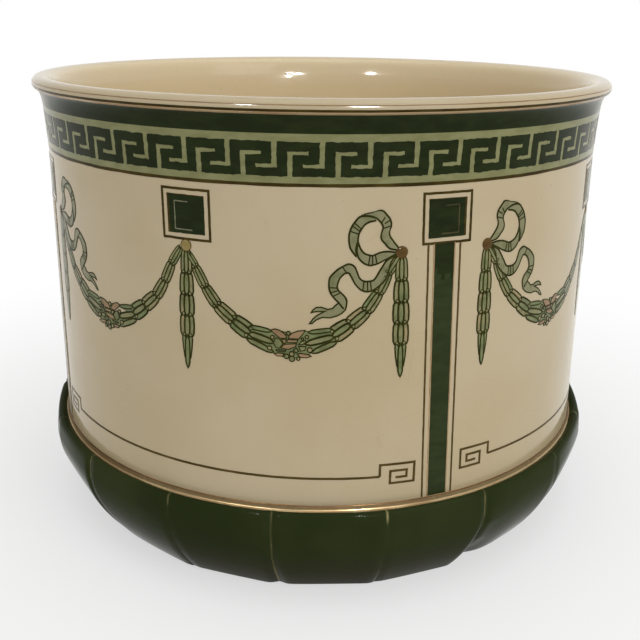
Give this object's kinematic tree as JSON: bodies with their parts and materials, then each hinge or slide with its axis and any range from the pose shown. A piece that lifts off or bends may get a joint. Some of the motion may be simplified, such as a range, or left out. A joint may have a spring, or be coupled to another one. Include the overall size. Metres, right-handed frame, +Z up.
{
  "type": "cachepot",
  "caption": "Round glazed ceramic cachepot with a lobed base, rolled lip, meander border and festoon enamel; it hides a plant's nursery pot.",
  "frame": {"origin": "on the ground under the middle of the pot", "axes": "+Z up along the pot's axis, -Y towards the side that the picture shows"},
  "size_m": [0.28, 0.2788, 0.2084],
  "materials": {
    "cream_glaze": "glossy cream glaze",
    "lip_glaze": "glossy cream glaze",
    "dark_green_glaze": "glossy dark green glaze",
    "bare_biscuit": "unglazed, ground flat",
    "dark_green_enamel": "glossy enamel",
    "pale_green_enamel": "glossy enamel",
    "outline_enamel": "glossy enamel",
    "leaf_green_enamel": "glossy enamel",
    "pink_enamel": "glossy enamel",
    "pale_gold_enamel": "glossy enamel",
    "gilding": "worn burnished gilding"
  },
  "bodies": {
    "root": {"cylinder_wall": "cream_glaze", "rim_lip": "lip_glaze", "lobed_base": "dark_green_glaze", "floor_disc": "cream_glaze", "foot_ring": "bare_biscuit", "base_gilt_band": "gilding", "meander_border_line": "dark_green_enamel", "meander_ground_band": "pale_green_enamel", "meander_keys": "dark_green_enamel", "rim_green_band": "dark_green_enamel", "lip_gilt_line": "gilding", "square_frames": "outline_enamel", "square_tiles": "dark_green_enamel", "square_bevel_lines": "gilding", "pilaster_stripes": "dark_green_enamel", "pilaster_gilt_edges": "gilding", "pilaster_outlines": "outline_enamel", "bow_ribbons": "leaf_green_enamel", "swag_garlands": "leaf_green_enamel", "swag_wraps": "pink_enamel", "knot_studs": "pale_gold_enamel", "leaf_drops": "leaf_green_enamel", "fret_lines": "outline_enamel"}
  },
  "joints": []
}
